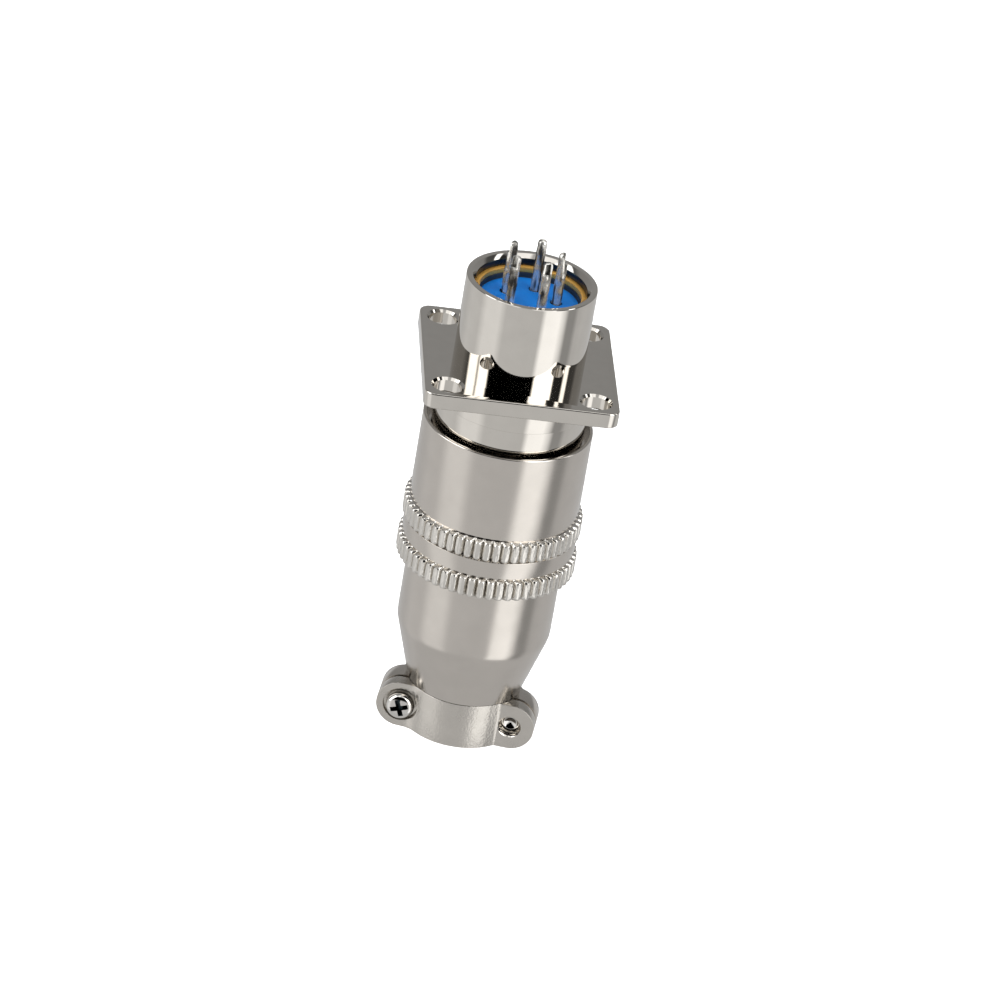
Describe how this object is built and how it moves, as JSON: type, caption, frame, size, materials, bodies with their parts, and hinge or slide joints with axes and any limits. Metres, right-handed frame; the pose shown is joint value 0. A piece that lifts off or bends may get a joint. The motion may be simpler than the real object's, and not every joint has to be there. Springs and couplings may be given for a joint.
{
  "type": "circular multi-pin connector pair",
  "caption": "Mated circular connector: square-flange receptacle with solder cups, and a cable plug with a knurled threaded sleeve, tapered backshell and cable clamp.",
  "frame": {"origin": "centre of the flange's rear face, on the connector's axis", "axes": "+Z along the connector's axis towards the receptacle's solder cups, X and Y along the flange's sides, -Y the side that shows the front clamp screw's head"},
  "size_m": [0.0178, 0.0178, 0.0494],
  "materials": {
    "polished_nickel": "polished nickel plate",
    "satin_nickel": "satin nickel plate",
    "blue_insulator": "moulded, slight gloss",
    "brass_ring": "bright brass",
    "plated_contact": "tin plated",
    "spring_steel": "plain spring steel",
    "screw_nickel": "nickel plated"
  },
  "bodies": {
    "receptacle": {"receptacle_shell": "polished_nickel", "receptacle_insert": "blue_insulator", "receptacle_snap_ring": "brass_ring", "receptacle_pin_1": "plated_contact", "receptacle_pin_2": "plated_contact", "receptacle_pin_3": "plated_contact", "receptacle_pin_4": "plated_contact", "receptacle_pin_5": "plated_contact"},
    "plug": {"plug_body": "polished_nickel", "plug_insert": "blue_insulator", "plug_snap_ring": "brass_ring", "sleeve_snap_ring": "spring_steel", "backshell": "satin_nickel", "clamp_saddle": "satin_nickel", "clamp_screw_front": "screw_nickel", "clamp_screw_back": "screw_nickel", "plug_socket_1": "plated_contact", "plug_socket_2": "plated_contact", "plug_socket_3": "plated_contact", "plug_socket_4": "plated_contact", "plug_socket_5": "plated_contact"},
    "sleeve": {"coupling_sleeve": "satin_nickel"}
  },
  "joints": [
    {"name": "plug_withdraw", "type": "slide", "parent": "receptacle", "child": "plug", "axis": [0, 0, -1], "range_m": [0, 0.005]},
    {"name": "sleeve_turn", "type": "hinge", "parent": "plug", "child": "sleeve", "pos_m": [0, 0, -0.0135], "axis": [0, 0, -1], "range_deg": [0, 1800]}
  ],
  "couplings": [
    {"joint": "plug_withdraw", "follows": "sleeve_turn", "m_per_rad": 0.00015915}
  ]
}
